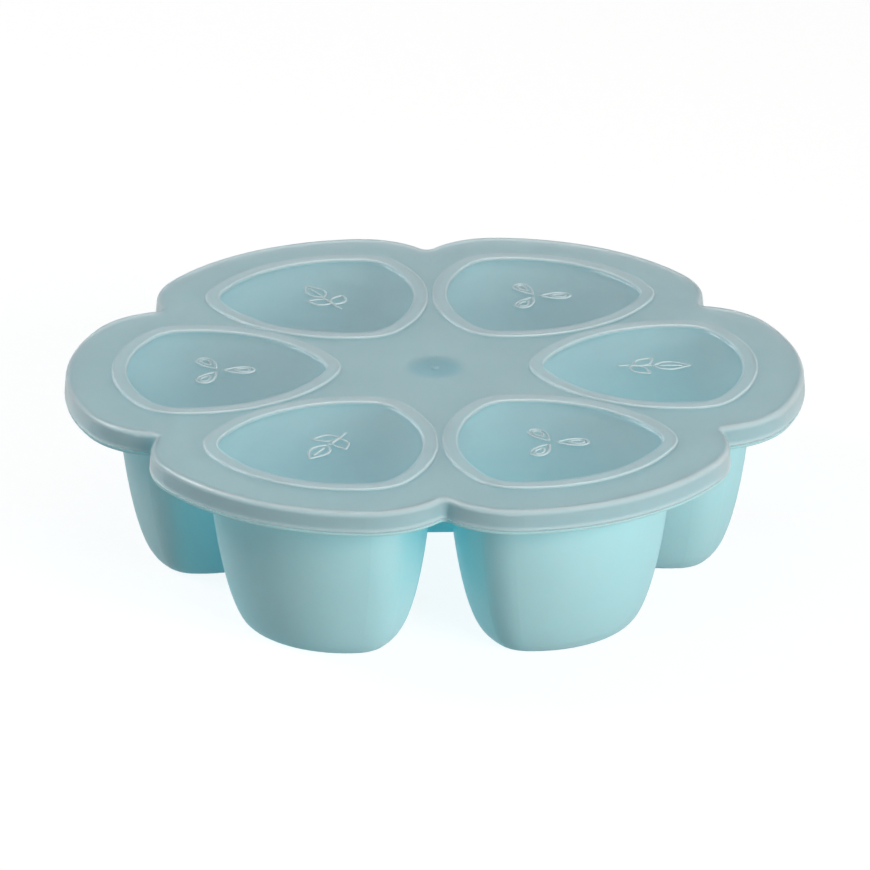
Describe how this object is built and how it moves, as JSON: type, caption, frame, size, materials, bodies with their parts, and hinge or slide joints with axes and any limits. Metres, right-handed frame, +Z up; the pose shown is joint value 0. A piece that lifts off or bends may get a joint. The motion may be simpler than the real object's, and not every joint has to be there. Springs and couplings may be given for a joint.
{
  "type": "baby food freezer tray",
  "caption": "Flower-shaped silicone freezer tray with rounded three-cornered cups under a shared deck, closed by a frosted lift-off lid with a skirt and a raised band over each cup.",
  "frame": {"origin": "on the surface the cups stand on, at the middle of the tray", "axes": "+Z up through the lid, +X along the axis of one cup, +Y between two cups"},
  "size_m": [0.25, 0.2384, 0.0656],
  "materials": {
    "silicone": "satin",
    "lid_plastic": "frosted translucent"
  },
  "bodies": {
    "tray": {"tray": "silicone"},
    "lid": {"lid": "lid_plastic"}
  },
  "joints": [
    {"name": "lid_lift", "type": "slide", "parent": "tray", "child": "lid", "axis": [0, 0, 1], "range_m": [0, 0.1]}
  ]
}
